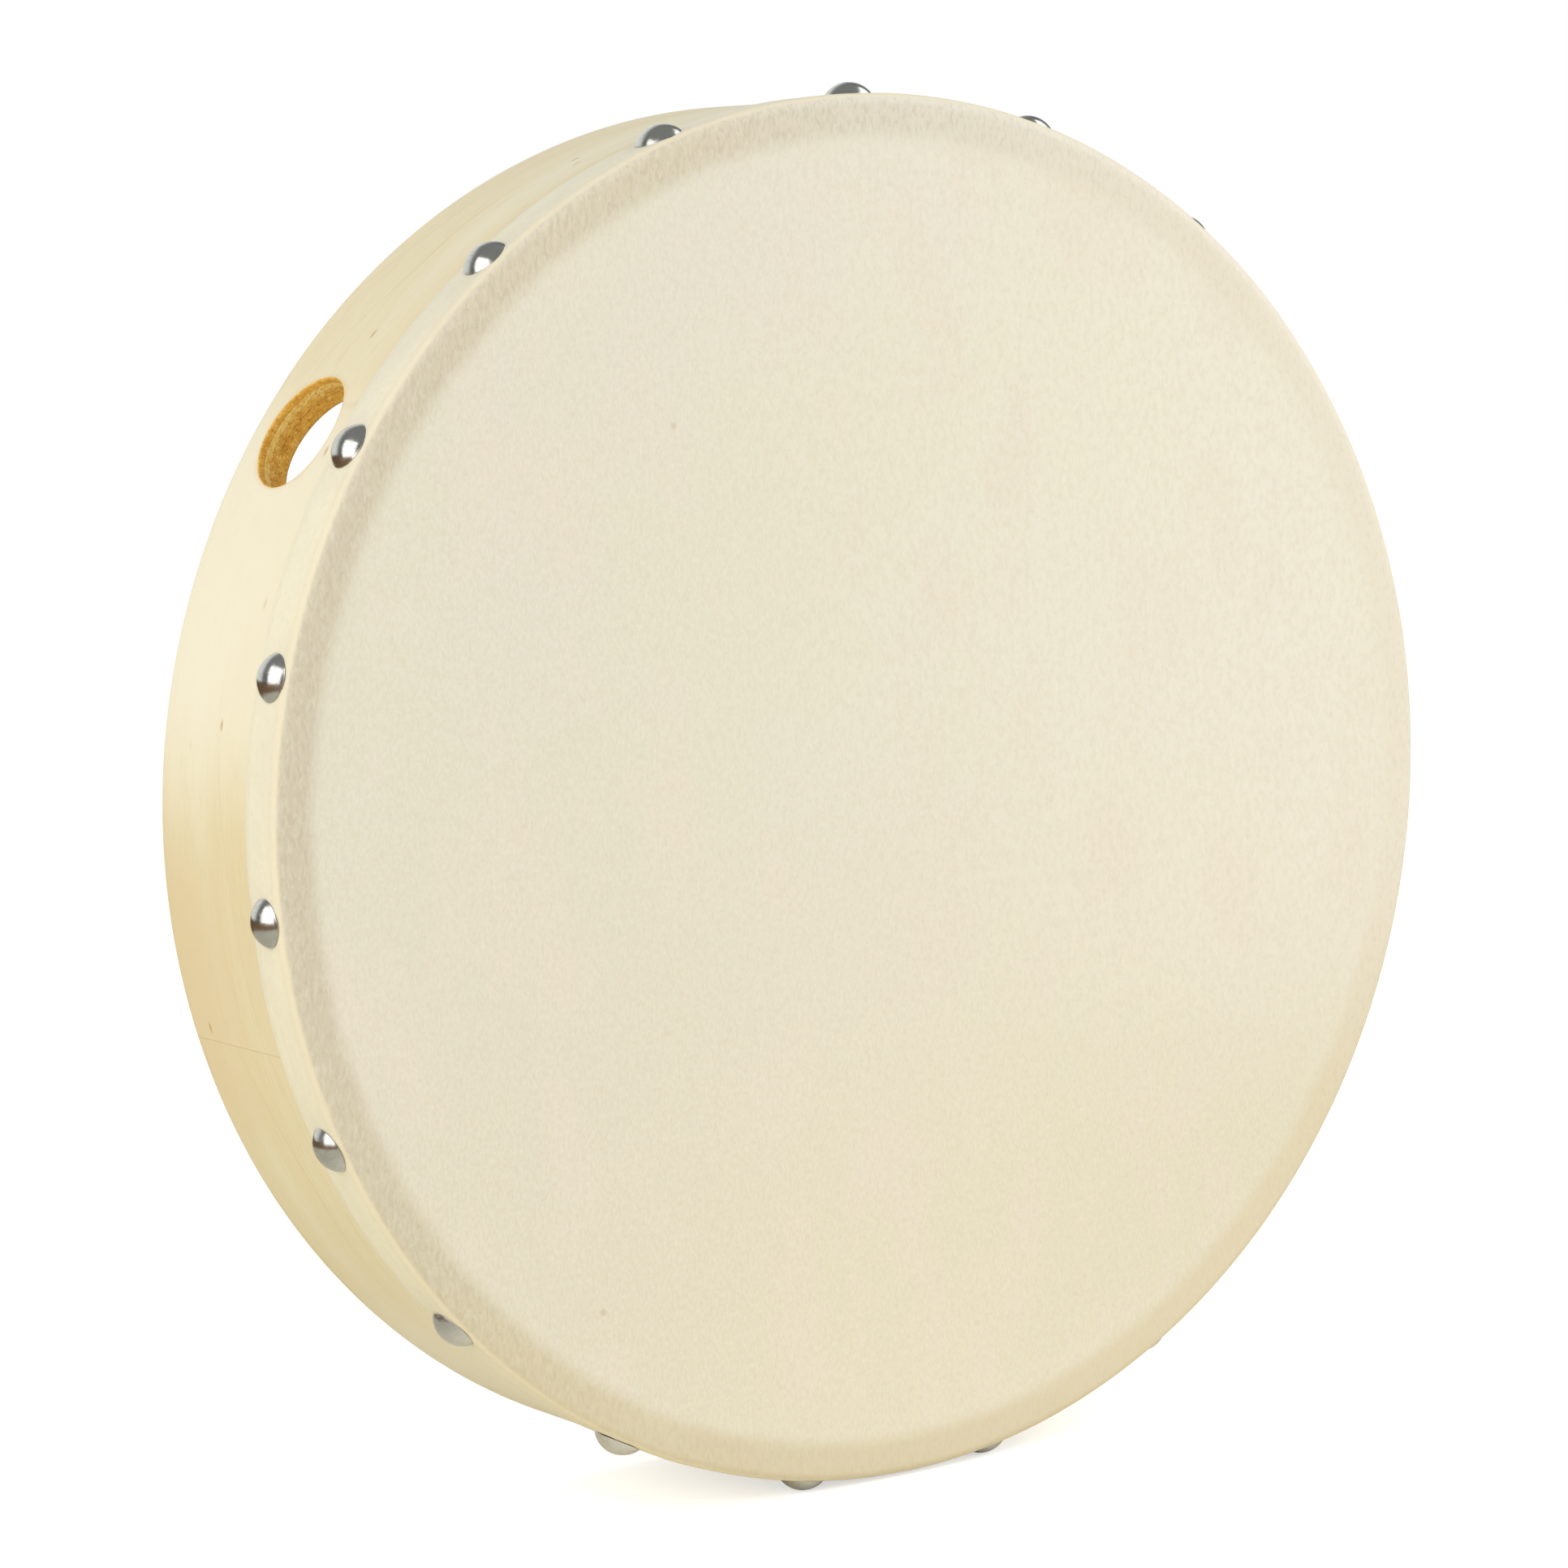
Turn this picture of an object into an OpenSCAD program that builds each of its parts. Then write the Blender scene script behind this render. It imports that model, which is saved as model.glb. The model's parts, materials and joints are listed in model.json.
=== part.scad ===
// Frame drum with a fixed natural-skin head: a laminated hoop, one skin and a row of dome-headed tacks.
// The drum stands on its rim. Its axis is Y, the head faces -Y, and Z is up. The origin is on the ground,
// halfway along the drum's depth.

/* [Hoop] */
// Outer diameter of the drum, over the skirt of the skin
drum_d = 254; // [200:1:330]
// Depth of the drum, from the head's face to the rear edge
drum_depth = 43.2; // [42:0.1:60]
// Thickness of one veneer; the hoop has five
ply_t = 1.32; // [1.25:0.01:1.6]
// Radius of the hoop's front edge, under the fold of the skin
front_edge_r = 1.2; // [0.6:0.1:1.2]
// Radius of the sanded rear edges
rear_edge_r = 0.8; // [0.3:0.1:1]

/* [Thumb hole] */
// Diameter of the thumb hole
thumb_d = 22; // [18:0.5:24]
// Distance of the hole's centre behind the head's face
thumb_depth = 26.7; // [25:0.1:28.5]
// Clock angle of the hole, in degrees clockwise from the top, seen from the head
thumb_clock = 304.5; // [296:0.1:314]

/* [Head] */
// Thickness of the skin
skin_t = 0.65; // [0.4:0.05:0.9]
// Distance of the skirt's cut edge behind the head's face
skirt_depth = 10.6; // [9.5:0.1:12]

/* [Tacks] */
// Number of tacks; an odd number puts one at the top and a pair at the foot
tack_count = 19; // [15:2:23]
// Diameter of a dome
dome_d = 8.8; // [7:0.1:9]
// Height of a dome
dome_h = 2.4; // [2:0.1:3.5]
// Thickness of the dome's metal
dome_t = 0.55; // [0.4:0.05:0.8]
// Distance of the tacks' centres behind the head's face
tack_depth = 5.4; // [4.5:0.1:5.5]
// Diameter of a shank
shank_d = 1.4; // [1:0.1:1.8]
// Length of a shank below the dome's base
shank_len = 4.6; // [3:0.1:4.8]
// Length of the shank's point
point_len = 1.6; // [1:0.1:2]

/* [Hidden] */
$fn = 96;
PLIES = ["outer_face_ply", "outer_cross_ply", "core_ply", "inner_cross_ply", "inner_face_ply"];
TACKS = [for (i = [1:tack_count]) str("tack_", i < 10 ? "0" : "", i)];

// Colours of the veneers, from the outer face inwards.
PLY_COLOURS = ["#ecdcb4", "#c8924a", "#d6ab66", "#bf8640", "#e6d3a6"];

drum_r = drum_d / 2;
hoop_r = drum_r - skin_t;
bore_r = hoop_r - len(PLIES) * ply_t;
thumb_r = thumb_d / 2;
fold_r = front_edge_r + skin_t;

// Where each veneer's two ends meet, staggered round the hoop and clear of the thumb hole and the tacks.
tack_step = 360 / tack_count;
SEAM_CLOCKS = [for (i = [13, 2, 9, 5, 17]) (i + 0.4) * tack_step];
seam_gap = 0.08;

// The shank fits its pilot hole with a little room all round.
pilot_r = shank_d / 2 + 0.04;
pilot_tip_r = drum_r - shank_len - 0.1;

// A dome is a cap of a sphere. It is the lowest part of the drum, at half a step from the bottom.
dome_r = dome_h / 2 + dome_d * dome_d / (8 * dome_h);
dome_centre = drum_r + dome_h - dome_r;
stand_height = dome_centre * cos(tack_step / 2) + dome_r;
over = 1;

// Drum coordinates: the axis is Z, 0 is the head's face and the depth runs up to the rear edge.
module stood_up() {
    translate([0, -drum_depth / 2, stand_height]) rotate([-90, 0, 0]) children();
}

// Points a radial feature's X axis outwards at a clock angle and a depth.
module at_clock(clock, depth = 0) {
    rotate([0, 0, clock - 90]) translate([0, 0, depth]) children();
}

// A bar round the radial X axis, from one radius to another.
module radial_bar(r, from, to) {
    translate([from, 0, 0]) rotate([0, 90, 0]) cylinder(r = r, h = to - from);
}

// What is left outside a rounded corner at the origin, whose solid lies towards +X and +Y.
module corner_waste(r) {
    difference() {
        translate([-over, -over]) square(r + over);
        translate([r, r]) circle(r);
    }
}

module thumb_drill() {
    at_clock(thumb_clock, thumb_depth) radial_bar(thumb_r, bore_r - over, drum_r + over);
}

module pilot_drills() {
    for (i = [0:tack_count - 1])
        at_clock(i * tack_step, tack_depth) radial_bar(pilot_r, pilot_tip_r, drum_r + over);
}

module ply_profile(i) {
    outer = hoop_r - i * ply_t;
    difference() {
        translate([outer - ply_t, skin_t]) square([ply_t, drum_depth - skin_t]);
        if (i == 0) {
            translate([outer, skin_t]) mirror([1, 0]) corner_waste(front_edge_r);
            translate([outer, drum_depth]) rotate(180) corner_waste(rear_edge_r);
        }
        if (i == len(PLIES) - 1)
            translate([outer - ply_t, drum_depth]) mirror([0, 1]) corner_waste(rear_edge_r);
    }
}

// One veneer: a strip bent round until its ends nearly touch, drilled for the thumb and, where they
// reach it, for the shanks.
module ply(i) {
    gap_angle = seam_gap / hoop_r * 180 / PI;
    color(PLY_COLOURS[i]) stood_up() difference() {
        rotate([0, 0, SEAM_CLOCKS[i] - 90]) rotate_extrude(angle = 360 - gap_angle) ply_profile(i);
        thumb_drill();
        if (hoop_r - i * ply_t > pilot_tip_r) pilot_drills();
    }
}

// The head and its skirt are one skin of even thickness, with a round fold.
module skin_profile() {
    difference() {
        square([drum_r, skirt_depth]);
        translate([drum_r, 0]) mirror([1, 0]) corner_waste(fold_r);
        difference() {
            translate([0, skin_t]) square([hoop_r, skirt_depth]);
            translate([hoop_r, skin_t]) mirror([1, 0]) corner_waste(front_edge_r);
        }
    }
}

module drum_skin() {
    color("#ebe4cd") stood_up() difference() {
        rotate_extrude() skin_profile();
        pilot_drills();
    }
}

// Half of a tack's section: X is the distance from its axis, Y the height over the dome's base.
module dome_profile() {
    difference() {
        intersection() {
            translate([0, dome_h - dome_r]) circle(dome_r);
            square([dome_d, dome_h]);
        }
        intersection() {
            translate([0, dome_h - dome_r]) circle(dome_r - dome_t);
            translate([shank_d / 2, -over]) square([dome_d, dome_h + over]);
        }
    }
}

module tack(i) {
    color("#d3d3d1") stood_up() at_clock(i * tack_step, tack_depth)
        translate([drum_r, 0, 0]) rotate([0, 90, 0]) {
            rotate_extrude() dome_profile();
            translate([0, 0, point_len - shank_len])
                cylinder(d = shank_d, h = shank_len - point_len + dome_h / 2);
            translate([0, 0, -shank_len]) cylinder(d1 = 0.2, d2 = shank_d, h = point_len);
        }
}

for (i = [0:len(PLIES) - 1])
    ply(i);
drum_skin();
for (i = [0:tack_count - 1])
    tack(i);
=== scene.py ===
"""Frame drum: the looks of the skin, the five veneers and the tacks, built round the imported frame."""

import json
import math
from types import SimpleNamespace

import bmesh
import bpy
from mathutils import Matrix, Vector, noise


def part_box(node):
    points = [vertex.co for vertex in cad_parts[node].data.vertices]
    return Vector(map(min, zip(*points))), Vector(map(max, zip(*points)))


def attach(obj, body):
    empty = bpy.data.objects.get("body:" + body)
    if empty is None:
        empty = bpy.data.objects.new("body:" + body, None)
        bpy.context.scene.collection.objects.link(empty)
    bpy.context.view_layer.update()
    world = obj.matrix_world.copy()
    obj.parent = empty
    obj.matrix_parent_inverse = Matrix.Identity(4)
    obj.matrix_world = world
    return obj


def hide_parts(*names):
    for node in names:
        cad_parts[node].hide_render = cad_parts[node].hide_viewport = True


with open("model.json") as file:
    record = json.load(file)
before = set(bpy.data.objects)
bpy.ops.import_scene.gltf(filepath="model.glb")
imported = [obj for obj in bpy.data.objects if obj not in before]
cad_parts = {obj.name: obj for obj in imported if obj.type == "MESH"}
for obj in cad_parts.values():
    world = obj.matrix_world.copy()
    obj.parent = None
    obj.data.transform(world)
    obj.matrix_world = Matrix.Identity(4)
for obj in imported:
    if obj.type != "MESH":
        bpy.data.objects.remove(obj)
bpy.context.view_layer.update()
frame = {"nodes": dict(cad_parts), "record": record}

MM = 0.001

# ---------------------------------------------------------------------------------------------------
# Places and sizes, from the frame
# ---------------------------------------------------------------------------------------------------

PLIES = ["outer_face_ply", "outer_cross_ply", "core_ply", "inner_cross_ply", "inner_face_ply"]
TACKS = sorted(n for n in frame["nodes"] if n.startswith("tack_"))

skin_low, skin_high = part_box("drum_skin")
DRUM_R = (skin_high.x - skin_low.x) / 2
AXIS_Z = (skin_high.z + skin_low.z) / 2
HEAD_Y = skin_low.y
SKIRT_END = skin_high.y - HEAD_Y


def box_radius(node):
    low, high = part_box(node)
    return (high.x - low.x) / 2


PLY_OUTER = [box_radius(n) for n in PLIES]
PLY_T = (PLY_OUTER[0] - PLY_OUTER[-1]) / (len(PLIES) - 1)
HOOP_R = PLY_OUTER[0]
BORE_R = PLY_OUTER[-1] - PLY_T
SKIN_T = DRUM_R - HOOP_R
HOOP_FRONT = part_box(PLIES[0])[0].y - HEAD_Y
HOOP_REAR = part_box(PLIES[0])[1].y - HEAD_Y

tack_low, tack_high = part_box(TACKS[0])
DOME_R = (tack_high.y - tack_low.y) / 2
DOME_H = tack_high.z - AXIS_Z - DRUM_R
TACK_DEPTH = (tack_high.y + tack_low.y) / 2 - HEAD_Y
TACK_STEP = 2 * math.pi / len(TACKS)

# The row of tacks runs slightly aslant: it is deepest at one clock angle.
TACK_SLANT = 0.45 * MM
TACK_SLANT_MEAN = 0.7
TACK_SLANT_CLOCK = math.radians(80)

thumb = next(m for m in frame["record"]["mounts"] if m["name"] == "thumb_hole")
THUMB_R = thumb["dims"]["r_mm"] * MM
THUMB_CLOCK = math.atan2(thumb["axis"][0], thumb["axis"][2])
THUMB_DEPTH = thumb["pos_m"][1] - HEAD_Y

# Rounded edges, as the CAD parts have them.
FOLD_R = 1.85 * MM
FRONT_EDGE_R = FOLD_R - SKIN_T
REAR_EDGE_R = 0.8 * MM

# The veneers' seams lie between tacks, and each strip's ends almost touch.
SEAM_CLOCKS = [(i + 0.4) * TACK_STEP for i in (13, 2, 9, 5, 17)]
SEAM_GAP = 0.05 * MM


def place(clock, radius, depth):
    """The point at a clock angle seen from the head, a radius and a depth behind the head's face."""
    return Vector((radius * math.sin(clock), HEAD_Y + depth, AXIS_Z + radius * math.cos(clock)))


def tack_row(clock):
    """Depth of the row of tacks at a clock angle."""
    return TACK_DEPTH + TACK_SLANT * (TACK_SLANT_MEAN + math.cos(clock - TACK_SLANT_CLOCK))


def smooth(low, high, x):
    """0 below a low limit and 1 over a high one, with a smooth rise between them."""
    t = min(max((x - low) / (high - low), 0.0), 1.0)
    return t * t * (3 - 2 * t)


def ripple(clock, radius, depth, size, seed):
    """Smooth noise from -1 to 1 with features of one size, the same on every run."""
    p = place(clock, radius, depth) / size
    return noise.noise(p + Vector((seed * 7.31, seed * 3.17, seed * 1.73)))


# ---------------------------------------------------------------------------------------------------
# Shader helpers
# ---------------------------------------------------------------------------------------------------


class Shader:
    """A material and short calls that add nodes to it."""

    def __init__(self, name):
        self.material = bpy.data.materials.new(name)
        self.material.use_nodes = True
        self.tree = self.material.node_tree
        self.bsdf = self.tree.nodes["Principled BSDF"]
        self.count = 0

    def node(self, kind, **settings):
        n = self.tree.nodes.new(kind)
        self.count += 1
        n.location = (-300 - 40 * self.count, 300 - 30 * self.count)
        for key, value in settings.items():
            setattr(n, key, value)
        return n

    def link(self, source, target):
        self.tree.links.new(source, target)

    def put(self, value, socket):
        """Sets a socket to a number, a colour or another node's output."""
        if isinstance(value, bpy.types.NodeSocket):
            self.link(value, socket)
        else:
            socket.default_value = value

    def math(self, op, a, b=0.0):
        n = self.node("ShaderNodeMath", operation=op)
        self.put(a, n.inputs[0])
        self.put(b, n.inputs[1])
        return n.outputs[0]

    def vector(self, x, y, z):
        n = self.node("ShaderNodeCombineXYZ")
        for value, socket in zip((x, y, z), n.inputs):
            self.put(value, socket)
        return n.outputs[0]

    def split(self, vector):
        n = self.node("ShaderNodeSeparateXYZ")
        self.link(vector, n.inputs[0])
        return n.outputs

    def scaled(self, vector, sizes):
        """Divides a vector by a feature size on each axis, in metres, so that one unit is one feature."""
        n = self.node("ShaderNodeVectorMath", operation="MULTIPLY")
        self.link(vector, n.inputs[0])
        n.inputs[1].default_value = [1 / s for s in sizes]
        return n.outputs[0]

    def noise(self, vector, detail=2.0, rough=0.5, distortion=0.0):
        n = self.node("ShaderNodeTexNoise")
        self.link(vector, n.inputs["Vector"])
        n.inputs["Scale"].default_value = 1.0
        n.inputs["Detail"].default_value = detail
        n.inputs["Roughness"].default_value = rough
        n.inputs["Distortion"].default_value = distortion
        return n.outputs[0]

    def cells(self, vector, dimensions="3D"):
        """(distance to the nearest cell's centre, that cell's random number)."""
        n = self.node("ShaderNodeTexVoronoi", voronoi_dimensions=dimensions)
        self.link(vector, n.inputs["Vector"])
        n.inputs["Scale"].default_value = 1.0
        split = self.node("ShaderNodeSeparateColor")
        self.link(n.outputs["Color"], split.inputs[0])
        return n.outputs["Distance"], split.outputs[0]

    def ramp(self, value, low, high, from_=0.0, to=1.0):
        """Maps a value between two limits smoothly to another range, held at its ends."""
        n = self.node("ShaderNodeMapRange", interpolation_type="SMOOTHSTEP", clamp=True)
        for v, s in zip((value, low, high, from_, to), n.inputs[:5]):
            self.put(v, s)
        return n.outputs[0]

    def mix(self, factor, a, b):
        n = self.node("ShaderNodeMix", data_type="RGBA")
        for v, s in ((factor, n.inputs[0]), (a, n.inputs[6]), (b, n.inputs[7])):
            self.put(v, s)
        return n.outputs[2]

    def bump(self, height, strength, distance):
        n = self.node("ShaderNodeBump")
        n.inputs["Strength"].default_value = strength
        n.inputs["Distance"].default_value = distance
        self.link(height, n.inputs["Height"])
        return n.outputs[0]

    def finish(self, colour, roughness, normal=None, **constants):
        """Links the colour, roughness and normal, and sets other sockets to constants by their names."""
        self.put(colour, self.bsdf.inputs["Base Color"])
        self.put(roughness, self.bsdf.inputs["Roughness"])
        if normal is not None:
            self.link(normal, self.bsdf.inputs["Normal"])
        for name, value in constants.items():
            self.bsdf.inputs[name.replace("_", " ").title().replace("Ior", "IOR")].default_value = value
        return self.material


def srgb(r, g, b):
    """An 8-bit display colour as the linear colour that a shader takes."""
    def linear(c):
        c /= 255
        return c / 12.92 if c <= 0.04045 else ((c + 0.055) / 1.055) ** 2.4
    return (linear(r), linear(g), linear(b), 1.0)


def object_point(s):
    return s.node("ShaderNodeTexCoord").outputs["Object"]


def drum_point(s, seam_clock=math.pi):
    """In metres: (arc along the rim, from opposite the seam; depth behind the head's face; radius)."""
    x, y, z = s.split(object_point(s))
    up = s.math("SUBTRACT", z, AXIS_Z)
    cos, sin = math.cos(seam_clock + math.pi), math.sin(seam_clock + math.pi)
    across = s.math("SUBTRACT", s.math("MULTIPLY", x, cos), s.math("MULTIPLY", up, sin))
    along = s.math("ADD", s.math("MULTIPLY", x, sin), s.math("MULTIPLY", up, cos))
    arc = s.math("MULTIPLY", s.math("ARCTAN2", across, along), DRUM_R)
    squares = s.math("ADD", s.math("POWER", s.math("ABSOLUTE", x), 2.0),
                     s.math("POWER", s.math("ABSOLUTE", up), 2.0))
    return arc, s.math("SUBTRACT", y, HEAD_Y), s.math("SQRT", squares)


# ---------------------------------------------------------------------------------------------------
# Materials
# ---------------------------------------------------------------------------------------------------


# The free face is cream and yellower at the foot. It also has painted shade that makes it a little darker at
# the left, and painted light that makes it paler at the right, where the lamps fall on it unevenly.
CREAM, CREAM_COOL = srgb(240, 233, 219), srgb(240, 234, 215)
CREAM_FOOT, CREAM_PAINTED_SHADE_LEFT, CREAM_PAINTED_LIGHT_RIGHT = srgb(234, 224, 196), srgb(228, 221, 204), srgb(252, 243, 227)
PATCH, FIBRE, GRAIN = srgb(243, 229, 214), srgb(226, 215, 192), srgb(250, 245, 232)

# The ring where the skin lies on the hoop's edge is darker, and it changes round the drum too: it is
# yellower at the foot and paler at the top. Painted shade darkens it at the left, and painted light
# brightens it at the right.
RING, RING_PINK = srgb(222, 212, 186), srgb(226, 208, 188)
RING_FOOT, RING_PAINTED_SHADE_LEFT, RING_TOP = srgb(226, 211, 176), srgb(206, 194, 172), srgb(240, 235, 226)
RING_PAINTED_LIGHT_RIGHT_FOOT, RING_PAINTED_LIGHT_RIGHT = srgb(240, 224, 192), srgb(253, 243, 227)
RING_DARK_STREAK, RING_PALE_STREAK = srgb(196, 181, 154), srgb(246, 239, 224)

# The skirt is pale, with a warm band along the fold.
SKIRT, SKIRT_DULL, SKIRT_WARM = srgb(244, 234, 206), srgb(238, 228, 203), srgb(236, 221, 190)
SKIRT_FIBRE, SKIRT_GRAIN = srgb(228, 213, 180), srgb(252, 246, 230)
SKIN_MARK = srgb(190, 158, 112)


def skin_fields(s):
    """The coordinates and the noises that the skin's face, ring and skirt share."""
    point = object_point(s)
    _, depth, radius = drum_point(s)
    sideways, _, height = s.split(point)
    return SimpleNamespace(
        point=point,
        depth=depth,
        radius=radius,
        sideways=sideways,
        height=height,
        over_foot=s.ramp(height, 0.05, 0.11),
        clouds=s.noise(s.scaled(point, (0.060, 0.060, 0.085)), 2.0, 0.5, 0.4),
        patches=s.noise(s.scaled(point, (0.016, 0.016, 0.030)), 3.0, 0.55),
        fibres=s.noise(s.scaled(point, (0.0012, 0.0012, 0.0021)), 3.0, 0.6, 0.5),
        grain=s.noise(s.scaled(point, (0.00055, 0.00055, 0.0010)), 2.0, 0.6),
        crinkle=s.noise(s.scaled(point, (0.0008, 0.0008, 0.0019)), 3.0, 0.60, 0.7),
    )


def face_colour(s, f):
    colour = s.mix(s.ramp(f.clouds, 0.38, 0.62), CREAM, CREAM_COOL)
    colour = s.mix(s.ramp(f.height, 0.17, 0.02, 0.0, 0.80), colour, CREAM_FOOT)
    # Painted shade: the left of the face is darkened.
    colour = s.mix(s.ramp(f.sideways, 0.01, -0.08, 0.0, 0.45), colour, CREAM_PAINTED_SHADE_LEFT)
    # Painted light: the right of the face, above the foot, is brightened.
    right = s.math("MULTIPLY", s.ramp(f.sideways, -0.02, 0.10, 0.0, 0.60), f.over_foot)
    colour = s.mix(right, colour, CREAM_PAINTED_LIGHT_RIGHT)
    colour = s.mix(s.ramp(f.patches, 0.45, 0.70, 0.0, 0.45), colour, PATCH)
    colour = s.mix(s.ramp(f.fibres, 0.35, 0.72, 0.0, 0.34), colour, FIBRE)
    return s.mix(s.ramp(f.grain, 0.30, 0.70, 0.0, 0.32), colour, GRAIN)


def ring_colour(s, f):
    blotch = s.noise(s.scaled(f.point, (0.0035, 0.0035, 0.0060)), 2.0, 0.5)
    colour = s.mix(s.ramp(blotch, 0.40, 0.68, 0.0, 0.45), RING, RING_PINK)
    colour = s.mix(s.ramp(f.height, 0.12, 0.01, 0.0, 0.6), colour, RING_FOOT)
    # Painted shade: the ring is darkened at the left.
    colour = s.mix(s.ramp(f.sideways, -0.07, -0.12, 0.0, 0.35), colour, RING_PAINTED_SHADE_LEFT)
    top = s.math("MULTIPLY", s.ramp(f.height, 0.215, 0.25, 0.0, 0.45), s.ramp(f.sideways, -0.05, 0.01))
    colour = s.mix(top, colour, RING_TOP)
    # Painted light: the ring is brightened at the right, from its foot upwards.
    right = s.mix(f.over_foot, RING_PAINTED_LIGHT_RIGHT_FOOT, RING_PAINTED_LIGHT_RIGHT)
    colour = s.mix(s.ramp(f.sideways, -0.02, 0.11, 0.0, 0.75), colour, right)
    # Short streaks, strongest at the upper left.
    streaky = s.math("MULTIPLY", s.ramp(f.sideways, 0.10, -0.05, 0.35, 1.0),
                     s.ramp(f.height, 0.0, 0.07, 0.35, 1.0))
    dark = s.math("MULTIPLY", s.ramp(f.crinkle, 0.52, 0.34, 0.0, 0.40), streaky)
    colour = s.mix(dark, colour, RING_DARK_STREAK)
    pale = s.math("MULTIPLY", s.ramp(f.crinkle, 0.50, 0.68, 0.0, 0.26), streaky)
    return s.mix(pale, colour, RING_PALE_STREAK)


def skirt_colour(s, f):
    colour = s.mix(s.ramp(f.patches, 0.35, 0.65), SKIRT, SKIRT_DULL)
    colour = s.mix(s.ramp(f.fibres, 0.40, 0.75, 0.0, 0.28), colour, SKIRT_FIBRE)
    colour = s.mix(s.ramp(f.grain, 0.30, 0.70, 0.0, 0.15), colour, SKIRT_GRAIN)
    return s.mix(s.ramp(f.depth, 3.4 * MM, 0.8 * MM, 0.0, 0.55), colour, SKIRT_WARM)


def skin_material():
    """Dry natural skin: a cream face with fine fibres, a darker ring on the hoop's edge and a pale skirt."""
    s = Shader("natural_skin")
    f = skin_fields(s)

    # The ring's inner border wanders by up to a millimetre or so.
    wander = s.noise(s.scaled(f.point, (0.010, 0.010, 0.010)), 2.0)
    reach = s.math("ADD", f.radius, s.math("MULTIPLY", s.math("SUBTRACT", wander, 0.5), 1.6 * MM))
    ring = s.ramp(reach, BORE_R - 1.9 * MM, BORE_R + 2.1 * MM)
    ring_strength = s.math("MULTIPLY", ring, s.ramp(f.clouds, 0.30, 0.65, 1.0, 0.80))
    colour = s.mix(ring_strength, face_colour(s, f), ring_colour(s, f))

    outside = s.ramp(f.radius, HOOP_R - 1.0 * MM, HOOP_R - 0.2 * MM)
    skirt = s.math("MULTIPLY", s.ramp(f.depth, 0.25 * MM, 0.75 * MM), outside)
    colour = s.mix(skirt, colour, skirt_colour(s, f))

    # A few small brown marks.
    near, pick = s.cells(s.scaled(f.point, (0.021, 0.021, 0.021)))
    mark = s.math("MULTIPLY", s.ramp(near, 0.045, 0.015), s.ramp(pick, 0.80, 0.86))
    colour = s.mix(s.math("MULTIPLY", mark, 0.30), colour, SKIN_MARK)

    # The ring is the roughest, and the skirt is scraped smoother than the rest.
    fine = s.math("ADD", s.math("MULTIPLY", f.fibres, 0.6), s.math("MULTIPLY", f.grain, 0.5))
    rough_ring = s.math("MULTIPLY", s.math("MULTIPLY", f.crinkle, ring), 1.6)
    relief = s.math("ADD", fine, rough_ring)
    relief = s.math("MULTIPLY", relief, s.ramp(skirt, 0.0, 1.0, 1.0, 0.60))
    normal = s.bump(relief, 0.55, 0.10 * MM)
    roughness = s.ramp(fine, 0.3, 0.8, 0.62, 0.50)
    return s.finish(colour, roughness, normal, subsurface_weight=0.12, subsurface_scale=1.0 * MM,
                    subsurface_radius=(1.0, 0.7, 0.4), specular_ior_level=0.35)


PORE, GRAIN_LINE, FLECK = srgb(206, 176, 120), srgb(205, 168, 108), srgb(190, 132, 62)
SHEEN_AND_PALE_TONE, HEARTWOOD_TONE = srgb(251, 242, 219), srgb(234, 212, 166)
SCRAPED, PIT = srgb(228, 186, 112), srgb(150, 92, 26)

# Two stretches of the strip are paler. The one round 291° is a painted sheen, where the left softbox lights
# the hoop most, and the one round 205° is a plain paler stretch. The rear half of another stretch is darker
# heartwood.
# (clock angle of the middle, reach to either side, strength)
SHEEN_AND_PALE_STRETCH = ((math.radians(291), math.radians(20), 0.60), (math.radians(205), math.radians(26), 0.60))
HEARTWOOD_CLOCK, HEARTWOOD_REACH = math.radians(258), math.radians(16)


def near_clock(s, arc, seam_clock, clock, reach):
    """1 at a clock angle, fading to 0 at a reach on either side of it."""
    turn = s.math("SUBTRACT", s.math("DIVIDE", arc, DRUM_R), clock - seam_clock - math.pi)
    return s.ramp(s.math("COSINE", turn), math.cos(reach), math.cos(0.4 * reach))


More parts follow.
